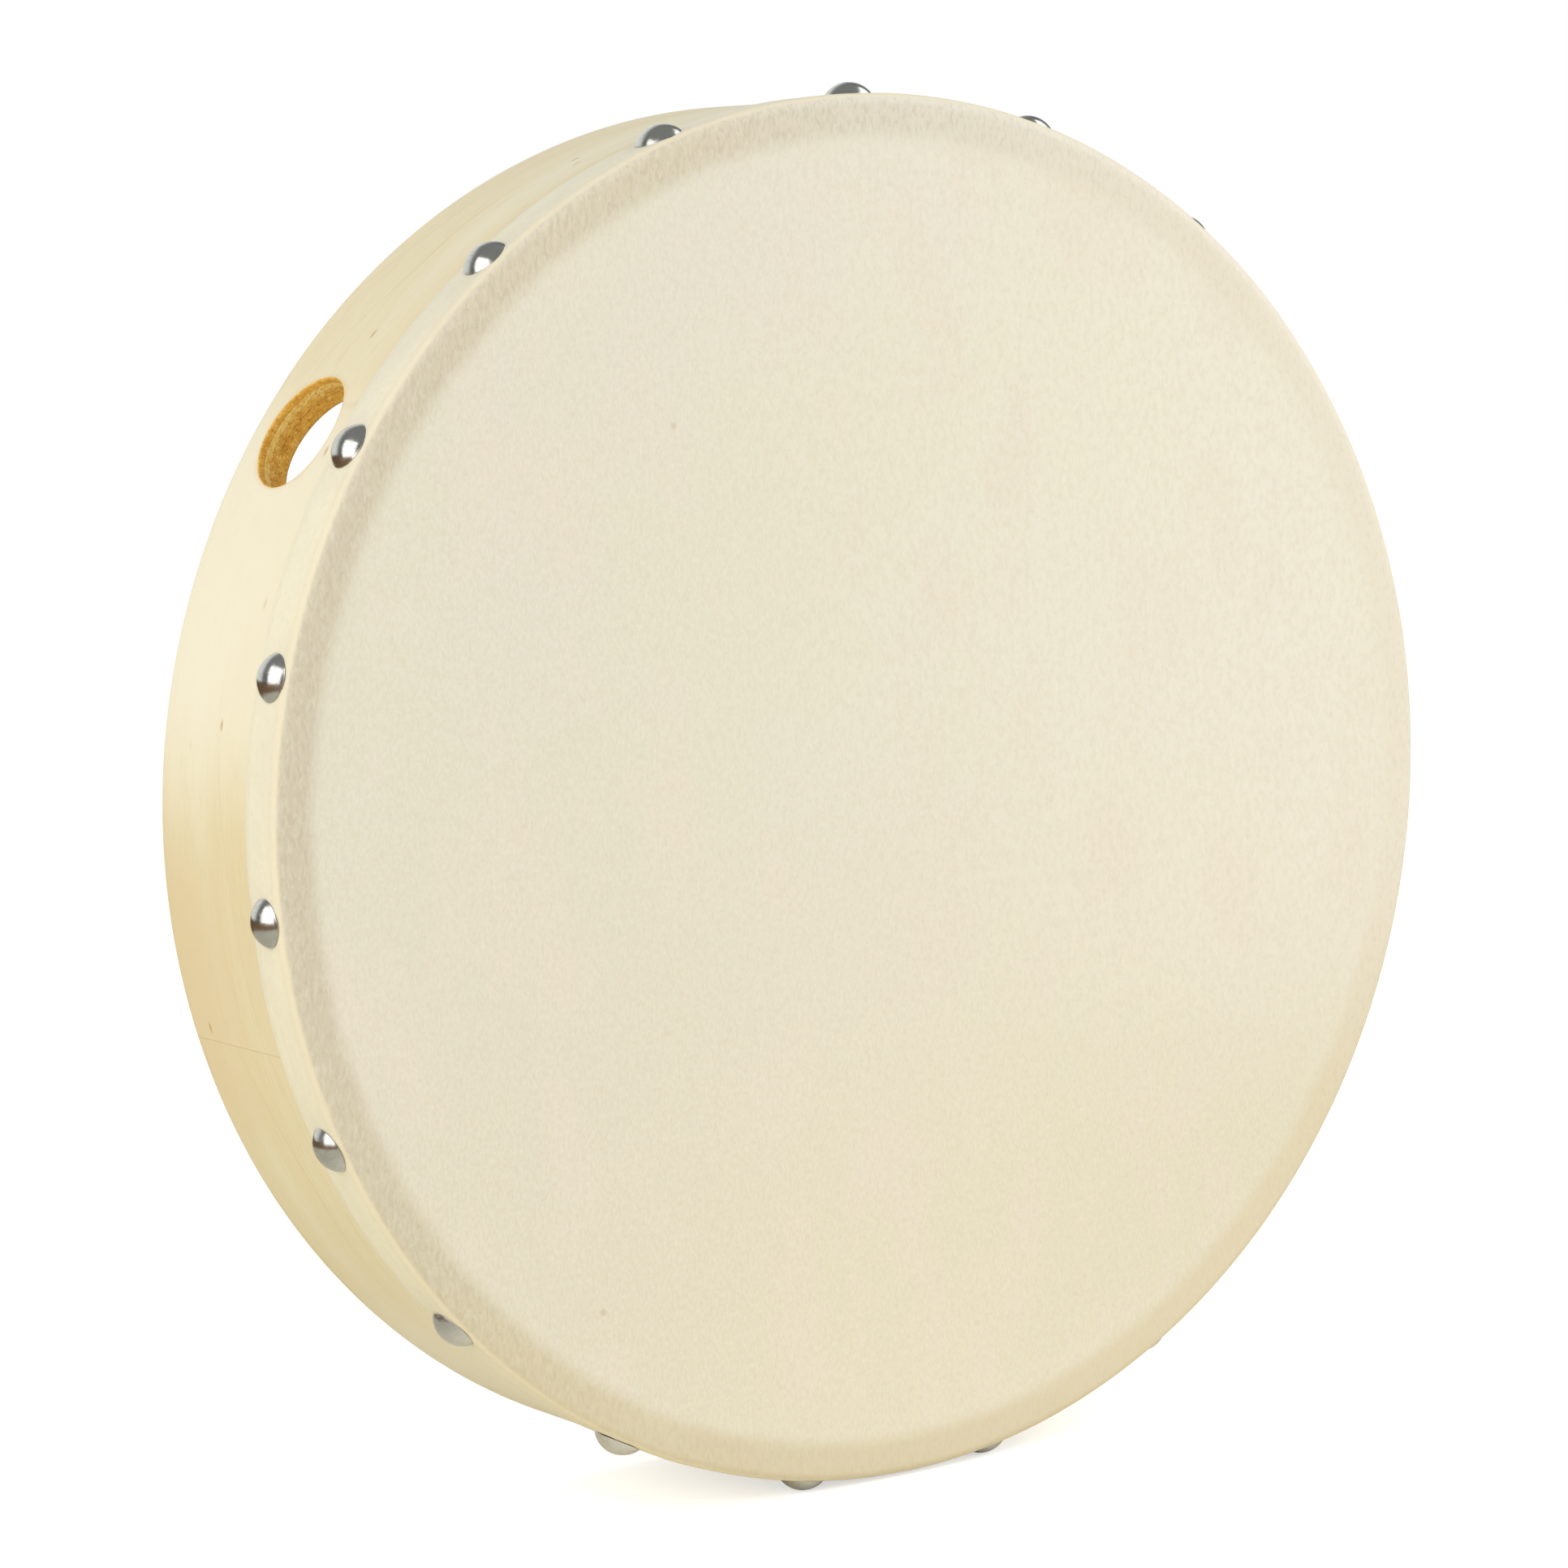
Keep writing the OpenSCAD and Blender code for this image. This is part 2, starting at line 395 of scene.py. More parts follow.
def veneer_face(s, along, seam_clock, face, face_dark):
    """Colour and relief of a face: soft streaks, fine pores and thin grain lines, all along the strip."""
    arc, depth, _ = s.split(along)
    broad = s.noise(s.scaled(along, (0.180, 0.014, 1.0)), 2.0, 0.5, 0.3)
    streaks = s.noise(s.scaled(along, (0.050, 0.0016, 1.0)), 3.0, 0.6)
    pores = s.noise(s.scaled(along, (0.0065, 0.00028, 1.0)), 2.0, 0.6)
    wood = s.mix(s.ramp(broad, 0.24, 0.76), face, face_dark)
    wood = s.mix(s.ramp(streaks, 0.42, 0.72, 0.0, 0.20), wood, face_dark)
    wood = s.mix(s.ramp(pores, 0.50, 0.74, 0.0, 0.26), wood, PORE)

    bend = s.noise(s.scaled(along, (0.110, 0.040, 1.0)), 1.0)
    contour = s.math("ADD", s.math("DIVIDE", depth, 9.0 * MM), s.math("MULTIPLY", bend, 5.0))
    ridge = s.math("ABSOLUTE", s.math("SUBTRACT", s.math("FRACT", contour), 0.5))
    line = s.math("MULTIPLY", s.ramp(ridge, 0.030, 0.004), s.ramp(broad, 0.44, 0.60))
    wood = s.mix(s.math("MULTIPLY", line, 0.26), wood, GRAIN_LINE)

    # Painted sheen round 291°, and a paler stretch round 205°.
    for clock, reach, strength in SHEEN_AND_PALE_STRETCH:
        sheen_and_pale = s.math("MULTIPLY", near_clock(s, arc, seam_clock, clock, reach), strength)
        wood = s.mix(sheen_and_pale, wood, SHEEN_AND_PALE_TONE)
    heartwood = s.math("MULTIPLY", near_clock(s, arc, seam_clock, HEARTWOOD_CLOCK, HEARTWOOD_REACH),
                       s.ramp(depth, 20 * MM, 37 * MM, 0.20, 0.85))
    wood = s.mix(heartwood, wood, HEARTWOOD_TONE)

    # Small brown flecks, longer along the grain.
    near, pick = s.cells(s.scaled(along, (0.0260, 0.0105, 1.0)), "2D")
    fleck = s.math("MULTIPLY", s.ramp(near, 0.058, 0.012), s.ramp(pick, 0.70, 0.76))
    wood = s.mix(s.math("MULTIPLY", fleck, 0.60), wood, FLECK)
    relief = s.math("ADD", s.math("MULTIPLY", pores, 0.5), s.math("MULTIPLY", streaks, 0.3))
    return wood, relief, streaks


def veneer_cut(s, cut, cut_dark, cut_pale):
    """Colour and relief of a cut edge: fibres cut across, in short chips, pale splinters and dark pits."""
    point = object_point(s)
    chips = s.noise(s.scaled(point, (0.0011, 0.0011, 0.0011)), 3.0, 0.68, 0.8)
    pits = s.noise(s.scaled(point, (0.00038, 0.00038, 0.00038)), 2.0, 0.6)
    colour = s.mix(s.ramp(chips, 0.36, 0.60), cut_dark, cut)
    colour = s.mix(s.ramp(chips, 0.58, 0.66, 0.0, 0.85), colour, cut_pale)
    colour = s.mix(s.ramp(pits, 0.58, 0.68, 0.0, 0.75), colour, PIT)
    relief = s.math("ADD", s.math("MULTIPLY", chips, 2.2), s.math("MULTIPLY", pits, 0.8))
    return colour, relief


def veneer_material(name, seam_clock, face, face_dark, cut, cut_dark, cut_pale):
    """Pale veneer with faint long grain, and rough cut fibres where the attribute `cut` is 1."""
    s = Shader(name)
    along = s.vector(*drum_point(s, seam_clock))
    wood, face_relief, streaks = veneer_face(s, along, seam_clock, face, face_dark)
    edge, edge_relief = veneer_cut(s, cut, cut_dark, cut_pale)

    # A scraped band of warmer wood runs beside every cut.
    attribute = s.node("ShaderNodeAttribute", attribute_name="cut").outputs["Fac"]
    cut_amount = s.ramp(attribute, 0.25, 0.85)
    colour = s.mix(s.ramp(attribute, 0.0, 0.3, 0.0, 0.35), wood, SCRAPED)
    colour = s.mix(cut_amount, colour, edge)

    relief = s.math("ADD", s.math("MULTIPLY", face_relief, s.math("SUBTRACT", 1.0, cut_amount)),
                    s.math("MULTIPLY", edge_relief, cut_amount))
    normal = s.bump(relief, 0.5, 0.12 * MM)
    roughness = s.math("ADD", s.ramp(streaks, 0.3, 0.8, 0.38, 0.48), s.math("MULTIPLY", cut_amount, 0.35))
    return s.finish(colour, roughness, normal, specular_ior_level=0.65)


NICKEL, NICKEL_DULL = srgb(216, 215, 210), srgb(192, 189, 181)


def nickel_material():
    """Bright nickel plate with fine handling marks and slightly uneven domes."""
    s = Shader("nickel")
    point = object_point(s)
    waves = s.noise(s.scaled(point, (0.0026, 0.0026, 0.0026)), 2.0, 0.5)
    marks = s.noise(s.scaled(point, (0.00045, 0.0025, 0.00045)), 3.0, 0.65, 1.0)
    colour = s.mix(s.ramp(marks, 0.35, 0.75, 0.0, 0.5), NICKEL, NICKEL_DULL)
    roughness = s.math("ADD", s.ramp(marks, 0.35, 0.75, 0.15, 0.27), s.ramp(waves, 0.45, 0.7, 0.0, 0.06))
    relief = s.math("ADD", waves, s.math("MULTIPLY", marks, 0.06))
    normal = s.bump(relief, 0.25, 0.12 * MM)
    return s.finish(colour, roughness, normal, metallic=1.0)


# ---------------------------------------------------------------------------------------------------
# Mesh helpers
# ---------------------------------------------------------------------------------------------------


def to_object(name, bm, material, body="root", sharp_angle=math.radians(38)):
    """Turns a closed bmesh into a piece with smooth faces and sharp corners."""
    bmesh.ops.recalc_face_normals(bm, faces=bm.faces)
    for face in bm.faces:
        face.smooth = True
    for edge in bm.edges:
        edge.smooth = len(edge.link_faces) == 2 and edge.calc_face_angle() < sharp_angle
    mesh = bpy.data.meshes.new(name)
    bm.to_mesh(mesh)
    bm.free()
    mesh.materials.append(material)
    obj = bpy.data.objects.new(name, mesh)
    bpy.context.scene.collection.objects.link(obj)
    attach(obj, body)
    return obj


def bridge(bm, a, b, closed):
    """Quads between two rows of vertices."""
    count = len(a) if closed else len(a) - 1
    for i in range(count):
        j = (i + 1) % len(a)
        bm.faces.new((a[i], a[j], b[j], b[i]))


# ---------------------------------------------------------------------------------------------------
# The skin
# ---------------------------------------------------------------------------------------------------

SKIN_COLUMNS = len(TACKS) * 40

# The face sags a little inside the hoop and isn't quite even.
FACE_SAG = 0.14 * MM
FACE_WAVE = 0.07 * MM

# The skirt is pressed in round each tack, puffs out between tacks and has slight creases.
TACK_PRESS = 0.16 * MM
TACK_PRESS_REACH = 4.6 * MM
SKIRT_PUFF = 0.16 * MM
SKIRT_CREASE = 0.06 * MM

# The fold stands off the hoop, most of all at one clock angle.
FOLD_PUFF = 0.40 * MM
FOLD_PUFF_LEAST = 0.05 * MM
FOLD_PUFF_REACH = 2.2 * MM
FOLD_PUFF_CLOCK = math.radians(55)

# The skirt's edge was cut by hand.
EDGE_SLOW_WAVE = 0.30 * MM
EDGE_QUICK_WAVE = 0.10 * MM
EDGE_SET_BACK = 0.12 * MM
EDGE_THINNED = 0.35
EDGE_ROUND = 0.09 * MM

# Depths up to this one belong to the flat face.
ON_FACE = 0.01 * MM


def tack_distance(clock, depth):
    """Distance over the skirt from the nearest tack's centre."""
    away = (clock + TACK_STEP / 2) % TACK_STEP - TACK_STEP / 2
    return math.hypot(away * DRUM_R, depth - tack_row(clock))


def skin_lift(clock, radius, depth):
    """How far the skin's outer side stands off its ideal surface."""
    if depth < ON_FACE:
        free = 1 - smooth(BORE_R - 2.5 * MM, BORE_R + 0.5 * MM, radius)
        unevenness = FACE_WAVE * ripple(clock, radius, 0, 34 * MM, 1)
        return unevenness * smooth(DRUM_R - FOLD_R, DRUM_R - 12 * MM, radius) - FACE_SAG * free
    near = tack_distance(clock, depth)
    pressed = -TACK_PRESS * math.exp(-((near / TACK_PRESS_REACH) ** 2))
    puff = SKIRT_PUFF * smooth(5 * MM, 11 * MM, near) * smooth(FOLD_R, 4 * MM, depth)
    crease = SKIRT_CREASE * ripple(clock, radius, depth * 0.35, 7 * MM, 2)
    thick = FOLD_PUFF * (0.5 + 0.5 * math.cos(clock - FOLD_PUFF_CLOCK)) ** 2 + FOLD_PUFF_LEAST
    bead = thick * math.exp(-(((depth - FOLD_R) / FOLD_PUFF_REACH) ** 2))
    bead *= smooth(0.0, FOLD_R * 0.5, depth)
    return (pressed + puff + crease) * smooth(FOLD_R * 0.4, FOLD_R * 1.6, depth) + bead


def skirt_length(clock):
    """Depth of the skirt's hand-cut edge."""
    slow = EDGE_SLOW_WAVE * ripple(clock, DRUM_R, 0, 48 * MM, 3)
    quick = EDGE_QUICK_WAVE * ripple(clock, DRUM_R, 0, 9 * MM, 4)
    return SKIRT_END + slow + quick - EDGE_SET_BACK


def skin_stations():
    """From the centre to the cut edge: (radius, depth, the normal's radial and depth parts, skirt share).

    A station on the skirt has a share of the skirt's length in place of a depth.
    """
    stations = []
    flat_end = DRUM_R - FOLD_R
    rings = [0.6 * MM, 3 * MM, 8 * MM]
    while rings[-1] < BORE_R - 12 * MM:
        rings.append(rings[-1] + 4.2 * MM)
    fine = 14
    start = rings[-1]
    rings += [start + (flat_end - start) * k / fine for k in range(1, fine + 1)]
    for r in rings:
        stations.append((r, 0.0, 0.0, -1.0, None))
    turns = 8
    for k in range(1, turns + 1):
        a = math.pi / 2 * k / turns
        sin, cos = math.sin(a), math.cos(a)
        stations.append((flat_end + FOLD_R * sin, FOLD_R * (1 - cos), sin, -cos, None))
    rows = 16
    for k in range(1, rows + 1):
        stations.append((DRUM_R, None, 1.0, 0.0, k / rows))
    return stations


def make_skin(material):
    bm = bmesh.new()
    stations = skin_stations()
    clocks = [2 * math.pi * i / SKIN_COLUMNS for i in range(SKIN_COLUMNS)]

    def rows(inner):
        made = []
        for r, d, nr, nd, share in stations:
            row = []
            for c in clocks:
                depth = d if share is None else FOLD_R + (skirt_length(c) - FOLD_R) * share
                lift = skin_lift(c, r, depth)
                thin = SKIN_T * (1.0 if share is None else 1 - EDGE_THINNED * smooth(0.80, 1.0, share))
                if inner:
                    # The underside never goes into the hoop, so it keeps to it where the skin is pressed.
                    gap = max(lift, 0.0) if depth > ON_FACE or r > BORE_R else lift
                    off = gap - SKIN_T
                else:
                    off = max(lift, -0.2 * MM) - (SKIN_T - thin)
                row.append(bm.verts.new(place(c, r + nr * off, depth + nd * off)))
            made.append(row)
        return made

    outer, inner = rows(False), rows(True)
    for side in (outer, inner):
        for a, b in zip(side, side[1:]):
            bridge(bm, a, b, True)
        centre = bm.verts.new(sum((v.co for v in side[0]), Vector()) / len(side[0]))
        for i in range(len(clocks)):
            bm.faces.new((centre, side[0][i], side[0][(i + 1) % len(clocks)]))
    # The cut edge is slightly rounded.
    bulge = Vector((0, EDGE_ROUND, 0))
    lip = [bm.verts.new((a.co + b.co) / 2 + bulge) for a, b in zip(outer[-1], inner[-1])]
    bridge(bm, outer[-1], lip, True)
    bridge(bm, lip, inner[-1], True)
    skin = to_object("skin_head", bm, material)
    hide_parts("drum_skin")
    return skin


# ---------------------------------------------------------------------------------------------------
# The veneers
# ---------------------------------------------------------------------------------------------------

# Round the thumb hole, a square window of the strip's grid is filled by rings that turn into a circle.
WINDOW_CLOCK = math.radians(6.6)
WINDOW_DEPTH = 14.0 * MM
WINDOW_CELLS = 26
WINDOW_RINGS = 7

# Small edges: between two veneers in a cut, and where the drill left the outer and the inner face.
CUT_GROOVE = 0.07 * MM
LIP_R = 0.35 * MM

FACE_RIPPLE = 0.05 * MM
SEAM_SINK = 0.015 * MM
SANDED_RIPPLE = 0.05 * MM


def spread(low, high, step):
    """Evenly spaced values from low up to, but not including, high."""
    n = max(1, round((high - low) / step))
    return [low + (high - low) * k / n for k in range(n)]


class Veneer:
    """One strip bent into a ring, with its seam, its rear edge and its share of the thumb hole's wall."""

    def __init__(self, index, wall_rough, column_step):
        self.i = index
        self.outer_r = PLY_OUTER[index]
        self.inner_r = self.outer_r - PLY_T
        self.seam = SEAM_CLOCKS[index]
        self.wall_rough = wall_rough
        self.bm = bmesh.new()
        self.cut = self.bm.verts.layers.float.new("cut")
        self.first, self.last = index == 0, index == len(PLIES) - 1
        gap = SEAM_GAP / self.outer_r / 2
        hole = (THUMB_CLOCK - self.seam) % (2 * math.pi)
        step = column_step / self.outer_r
        low, high = hole - WINDOW_CLOCK, hole + WINDOW_CLOCK
        cell = 2 * WINDOW_CLOCK / WINDOW_CELLS
        self.angles = spread(gap, low, step) + [low + cell * k for k in range(WINDOW_CELLS)]
        self.angles += spread(high, 2 * math.pi - gap, step) + [2 * math.pi - gap]
        self.col0 = self.angles.index(low)
        top, foot = THUMB_DEPTH - WINDOW_DEPTH, THUMB_DEPTH + WINDOW_DEPTH
        cell = 2 * WINDOW_DEPTH / WINDOW_CELLS
        self.depths = spread(HOOP_FRONT, top, 2.6 * MM) + [top + cell * k for k in range(WINDOW_CELLS)]
        self.depths += [foot, HOOP_REAR]
        self.row0 = self.depths.index(top)

    def vert(self, angle, radius, depth, cut=0.0):
        v = self.bm.verts.new(place(self.seam + angle, radius, depth))
        v[self.cut] = cut
        return v

    def in_window(self, c, row):
        """Whether a cell of the grid is in the window round the hole."""
        return 0 <= c - self.col0 < WINDOW_CELLS and 0 <= row - self.row0 < WINDOW_CELLS

    def surface(self, outer):
        """One side of the strip, as columns of vertices, with the window round the hole left open."""
        r = self.outer_r if outer else self.inner_r
        sign = 1 if outer else -1
        exposed = self.first and outer or self.last and not outer
        grid = []
        for c, angle in enumerate(self.angles):
            column = []
            for row, depth in enumerate(self.depths):
                if self.in_window(c - 1, row - 1) and self.in_window(c, row):
                    column.append(None)
                    continue
                if row == 0 and self.first and outer:
                    depth += FRONT_EDGE_R
                if row == len(self.depths) - 1:
                    depth -= REAR_EDGE_R if exposed else CUT_GROOVE
                wave, sink, cut = 0.0, 0.0, 0.0
                if exposed:
                    ends = min(angle, 2 * math.pi - angle) * r
                    sink = -SEAM_SINK * (1 - smooth(0.0, 0.5 * MM, ends))
                    cut = 0.05 if ends < 0.08 * MM else 0.0
                if exposed and depth >= SKIRT_END + 1 * MM:
                    wave = FACE_RIPPLE * ripple(self.seam + angle, r, depth, 26 * MM, 5)
                column.append(self.vert(angle, r + sign * (wave + sink), depth, cut))
            grid.append(column)
        for c in range(len(self.angles) - 1):
            for row in range(len(self.depths) - 1):
                if not self.in_window(c, row):
                    corners = (grid[c][row], grid[c + 1][row], grid[c + 1][row + 1], grid[c][row + 1])
                    self.bm.faces.new(corners)
        return grid

    def window_loop(self, grid):
        """The vertices round the open window, in order, and each one's direction from the hole's centre."""
        c0, r0, n = self.col0, self.row0, WINDOW_CELLS
        places = [(c0 + k, r0) for k in range(n)] + [(c0 + n, r0 + k) for k in range(n)]
        places += [(c0 + n - k, r0 + n) for k in range(n)] + [(c0, r0 + n - k) for k in range(n)]
        loop = [grid[c][r] for c, r in places]
        middle = n / 2
        turns = [math.atan2(r - r0 - middle, c - c0 - middle) for c, r in places]
        return loop, turns

    def rim_point(self, turn, hole_r, surface_r):
        """(angle from the seam, depth) on a drilled wall of one radius where it meets one surface."""
        hole = (THUMB_CLOCK - self.seam) % (2 * math.pi)
        return hole + math.asin(hole_r * math.cos(turn) / surface_r), THUMB_DEPTH + hole_r * math.sin(turn)

    def wall_wave(self, turn, r):
        """How far the drilled wall stands off a true cylinder."""
        p = Vector((math.cos(turn) * THUMB_R, math.sin(turn) * THUMB_R, r))
        fine = noise.noise(p / (0.8 * MM)) + 0.6 * noise.noise(p / (0.4 * MM))
        slow = noise.noise(p / (6.0 * MM))
        return self.wall_rough * fine + 0.05 * MM * slow

    def drill(self, grid, outer):
        """Rings of quads from the window in to the hole; returns the last ring and the directions."""
        r = self.outer_r if outer else self.inner_r
        lip = LIP_R if (self.first and outer or self.last and not outer) else CUT_GROOVE
        loop, turns = self.window_loop(grid)
        starts = [v.co.copy() for v in loop]
        previous = loop
        for ring in range(1, WINDOW_RINGS + 1):
            share = 1 - (1 - ring / WINDOW_RINGS) ** 1.7
            row = []
            for v, turn, start in zip(loop, turns, starts):
                angle, depth = self.rim_point(turn, THUMB_R + lip, r)
                end = place(self.seam + angle, r, depth)
                spot = start.lerp(end, share)
                clock = math.atan2(spot.x, spot.z - AXIS_Z)
                cut = 0.22 * smooth(0.75, 1.0, share) if lip == LIP_R else 0.0
                row.append(self.vert(clock - self.seam, r, spot.y - HEAD_Y, cut))
            bridge(self.bm, previous, row, True)
            previous = row
        return previous, turns

    def hole_wall(self, outer_ring, inner_ring, turns):
        """The strip's share of the drilled wall, with small lips, from its outer to its inner side."""
        lip_out = LIP_R if self.first else CUT_GROOVE
        lip_in = LIP_R if self.last else CUT_GROOVE
        steps, inner_steps = [], []
        for k in range(1, 4):
            a = math.pi / 2 * k / 3
            in_from_face, wide = 1 - math.cos(a), 1 - math.sin(a)
            steps.append((self.outer_r - lip_out * in_from_face, lip_out * wide))
            inner_steps.append((self.inner_r + lip_in * in_from_face, lip_in * wide))
        middle = 5
        top, foot = steps[-1][0], inner_steps[-1][0]
        steps += [(top + (foot - top) * k / middle, 0.0) for k in range(1, middle)]
        steps += inner_steps[::-1]
        previous = outer_ring
        for r, wide in steps:
            row = []
            for turn in turns:
                rough = self.wall_wave(turn, r) if wide < 0.02 * MM else 0.0
                angle, depth = self.rim_point(turn, THUMB_R + wide + rough, r)
                cut = 1.0 if wide < 0.6 * max(lip_out, lip_in) else 0.6
                row.append(self.vert(angle, r, depth, cut))
            bridge(self.bm, previous, row, True)
            previous = row
        bridge(self.bm, previous, inner_ring, True)

    def rear_edge(self, outer, inner):
        """The sanded edge at the back, from the outer side round to the inner side."""
        sides = []
        for r, sign, rounded in ((self.outer_r, -1, self.first), (self.inner_r, 1, self.last)):
            size = REAR_EDGE_R if rounded else CUT_GROOVE
            turns = 5 if rounded else 1
            side = []
            for k in range(1, turns + 1):
                a = math.pi / 2 * k / turns
                depth = HOOP_REAR - size * (1 - math.sin(a))
                side.append((r + sign * size * (1 - math.cos(a)), depth, k / turns))
            sides.append(side)
        middle = [((sides[0][-1][0] + sides[1][-1][0]) / 2, HOOP_REAR, 1.0)]
        profile = sides[0] + middle + sides[1][::-1]
        previous = [column[-1] for column in outer]
        for r, depth, cut in profile:
            row = []
            for angle in self.angles:
                sanded = SANDED_RIPPLE * ripple(self.seam + angle, self.outer_r, depth, 14 * MM, 6)
                row.append(self.vert(angle, r, depth + min(sanded, 0.0), 0.35 + 0.65 * cut))
            bridge(self.bm, previous, row, False)
            previous = row
        bridge(self.bm, previous, [column[-1] for column in inner], False)

    def front_edge(self, outer, inner):
        """The edge under the skin, which only the outer veneer has rounded."""
        previous = [column[0] for column in outer]
        if self.first:
            for k in range(1, 5):
                a = math.pi / 2 * k / 4
                r = self.outer_r - FRONT_EDGE_R * (1 - math.cos(a))
                depth = HOOP_FRONT + FRONT_EDGE_R * (1 - math.sin(a))
                row = [self.vert(angle, r, depth) for angle in self.angles]
                bridge(self.bm, previous, row, False)
                previous = row
        bridge(self.bm, previous, [column[0] for column in inner], False)

    def close_ends(self):
        """Fills the strip's two end faces, which look at each other across the seam."""
        loose = [e for e in self.bm.edges if len(e.link_faces) == 1]
        made = bmesh.ops.holes_fill(self.bm, edges=loose, sides=0)["faces"]
        bmesh.ops.triangulate(self.bm, faces=made)

    def build(self, name, material):
        outer, inner = self.surface(True), self.surface(False)
        outer_ring, turns = self.drill(outer, True)
        inner_ring, _ = self.drill(inner, False)
        self.hole_wall(outer_ring, inner_ring, turns)
        self.rear_edge(outer, inner)
        self.front_edge(outer, inner)
        self.close_ends()
        obj = to_object(name, self.bm, material)
        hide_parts(PLIES[self.i])
        return obj


def make_veneers():
    pale, tan = srgb(243, 231, 198), srgb(237, 219, 174)
    inner_pale, inner_tan = srgb(236, 222, 182), srgb(230, 208, 158)
    ochre, brown, straw = srgb(238, 191, 88), srgb(214, 156, 52), srgb(250, 218, 130)
    orange, rust = srgb(242, 190, 78), srgb(222, 164, 54)
    splinter = srgb(250, 220, 146)
    fine, coarse = 1.5 * MM, 3 * MM
    # (name, face's two colours, cut edge's three colours, roughness of the drilled wall, grid step, slot)
    looks = [
        ("outer_veneer", (pale, tan), (orange, rust, straw), 0.03 * MM, fine, "outer_veneer"),
        ("outer_cross_veneer", (ochre, brown), (straw, ochre, splinter), 0.10 * MM, coarse, "cross_veneer"),
        ("core_veneer", (ochre, brown), (ochre, brown, straw), 0.12 * MM, coarse, "core_veneer"),
        ("inner_cross_veneer", (ochre, brown), (orange, brown, straw), 0.12 * MM, coarse, "cross_veneer"),
        ("inner_veneer", (inner_pale, inner_tan), (ochre, rust, straw), 0.05 * MM, fine, "inner_veneer"),
    ]
    for i, (name, faces, cuts, rough, step, slot) in enumerate(looks):
        material = veneer_material(name, SEAM_CLOCKS[i], *faces, *cuts)
        Veneer(i, rough, step).build(name, material)


# ---------------------------------------------------------------------------------------------------
# The tacks
# ---------------------------------------------------------------------------------------------------

DOME_SIDES = 64
METAL_T = 0.55 * MM
BRIM_H = 0.16 * MM
BRIM_ROUND = 0.10 * MM
DOME_DENT = 0.05 * MM
CROWN_RISE = 0.02 * MM
SHANK_R = 0.7 * MM
SHANK_LEN = 4.6 * MM
POINT_LEN = 1.6 * MM
POINT_R = 0.1 * MM
TACK_LEAN = math.radians(1.4)


def tack_profile():
    """(distance from the tack's axis, height over the skin) from the crown, round the rim, to the point."""
    ball = (DOME_R ** 2 + DOME_H ** 2) / (2 * DOME_H)
    centre = DOME_H - ball
    widest = math.acos((BRIM_H - centre) / ball)
    rows = 22
    points = []
    for k in range(1, rows + 1):
        a = widest * k / rows
        points.append((ball * math.sin(a), centre + ball * math.cos(a)))
    r_end = points[-1][0]
    for k in range(1, 5):
        a = math.pi * k / 5
        points.append((r_end + BRIM_ROUND * (math.sin(a) - k / 5), BRIM_H * (1 - k / 4)))
    hollow = ball - METAL_T
    reach = math.acos(-centre / hollow)
    for k in range(8, 1, -1):
        a = reach * k / 8
        points.append((hollow * math.sin(a), centre + hollow * math.cos(a)))
    points.append((SHANK_R, points[-1][1]))
    points.append((SHANK_R, 0.0))
    points.append((SHANK_R, POINT_LEN - SHANK_LEN))
    points.append((POINT_R, -SHANK_LEN))
    return points


def make_tack(index, name, material):
    """One tack, set by hand: each leans a little and turns its own way."""
    clock = index * TACK_STEP
    out = Vector((math.sin(clock), 0, math.cos(clock)))
    back = Vector((0, 1, 0))
    side = out.cross(back)
    tilt = Matrix.Rotation(TACK_LEAN * noise.noise(Vector((index, 0.5, 0.2))), 3, side)
    tilt = tilt @ Matrix.Rotation(TACK_LEAN * noise.noise(Vector((0.4, index, 0.7))), 3, back)
    foot = place(clock, DRUM_R, tack_row(clock))
    bm = bmesh.new()
    rings = []
    for r, h in tack_profile():
        ring = []
        for k in range(DOME_SIDES):
            a = 2 * math.pi * k / DOME_SIDES
            local = (math.cos(a) * back + math.sin(a) * side) * r
            wave = DOME_DENT * noise.noise((local + out * h) / (3.0 * MM) + Vector((index, index, 0)))
            dent = wave * smooth(0.0, 0.5 * MM, h)
            ring.append(bm.verts.new(foot + tilt @ (local + out * (h + dent))))
        rings.append(ring)
    for a, b in zip(rings, rings[1:]):
        bridge(bm, a, b, True)
    for ring in (rings[0], rings[-1]):
        centre = bm.verts.new(sum((v.co for v in ring), Vector()) / DOME_SIDES)
        if ring is rings[0]:
            centre.co += tilt @ out * CROWN_RISE
        for k in range(DOME_SIDES):
            bm.faces.new((centre, ring[k], ring[(k + 1) % DOME_SIDES]))
    piece = to_object(f"nail_{index + 1:02d}", bm, material)
    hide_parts(name)
    return piece


# ---------------------------------------------------------------------------------------------------
# The stage: floor, light and camera
# ---------------------------------------------------------------------------------------------------


# In the nickel the floor is a pale table top, brightest close by, with brown beyond it. BOUNCE_TONE is
# what it throws on the drum, and FLOOR_LIFT brings it near white for the camera.
TABLE_R = 0.32
FLOOR_HALF = 6.0
NEAR_TONE = (0.97, 0.94, 0.82, 1.0)
TABLE_TONE = (0.62, 0.59, 0.49, 1.0)
BEYOND_TONE = (0.20, 0.11, 0.05, 1.0)
BOUNCE_TONE = (0.85, 0.80, 0.63, 1.0)
FLOOR_LIFT = 0.55


